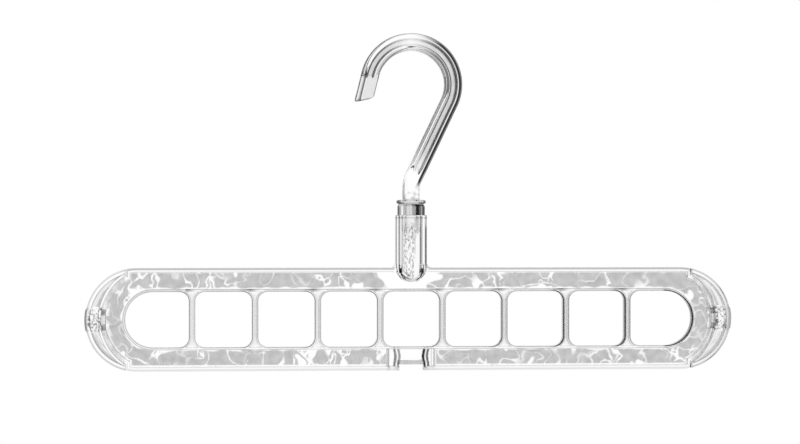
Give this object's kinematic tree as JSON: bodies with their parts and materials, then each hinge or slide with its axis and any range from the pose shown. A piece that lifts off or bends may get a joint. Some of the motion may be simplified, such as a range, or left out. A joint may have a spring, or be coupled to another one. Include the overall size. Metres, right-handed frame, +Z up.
{
  "type": "scarf hanger",
  "caption": "Clear multi-port hanger with a channelled swivel hook, a pill-shaped frame of square and round-ended ports, a socket tube and a catch below.",
  "frame": {"origin": "centre of the hook's crook, on the axis of the rod it hangs from", "axes": "+X along the frame to the right, +Y to the back along the rod, +Z up"},
  "size_m": [0.3502, 0.0174, 0.1819],
  "materials": {
    "frame_clear": "clear polished plastic, rippled web",
    "hook_clear": "clear polished plastic",
    "bush_clear": "clear polished plastic",
    "cap_clear": "clear polished plastic"
  },
  "bodies": {
    "hook": {"hook": "hook_clear"},
    "frame": {"frame": "frame_clear", "swivel_bush": "bush_clear", "left_end_cap": "cap_clear", "right_end_cap": "cap_clear"}
  },
  "joints": [
    {"name": "swivel", "type": "hinge", "parent": "hook", "child": "frame", "pos_m": [0, 0, -0.0752], "axis": [0, 0, 1], "continuous": true}
  ]
}
